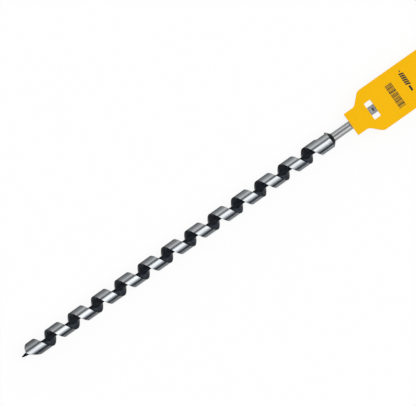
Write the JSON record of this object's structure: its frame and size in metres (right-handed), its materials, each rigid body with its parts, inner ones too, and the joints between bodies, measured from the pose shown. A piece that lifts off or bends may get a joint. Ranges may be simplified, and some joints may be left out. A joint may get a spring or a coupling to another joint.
{
  "type": "wood auger drill bit",
  "caption": "Wood auger bit with a screw point, a spur, a deep spiral flute and a hexagon shank, held in a flat sheet hanger that pulls off the shank.",
  "frame": {"origin": "on the bit's axis, where the hexagon shank leaves the shoulder", "axes": "+X along the bit from the tip to the shank, +Y across the hanger, +Z out of the hanger's printed face"},
  "size_m": [0.5188, 0.0484, 0.018],
  "materials": {
    "land_steel": "land ground bright, flutes left in black oxide",
    "black_oxide": "black oxide, satin",
    "shank_steel": "satin, drawn along its length, with a black cone at the shoulder",
    "yellow_plastic": "smooth sheet, fine satin grain"
  },
  "bodies": {
    "bit": {"twist": "land_steel", "lead_screw": "black_oxide", "hex_shank": "shank_steel"},
    "hanger": {"front_panel": "yellow_plastic", "back_panel": "yellow_plastic", "front_sleeve": "yellow_plastic", "back_sleeve": "yellow_plastic"}
  },
  "joints": [
    {"name": "hanger_slide", "type": "slide", "parent": "bit", "child": "hanger", "axis": [1, 0, 0], "range_m": [0, 0.06]}
  ]
}
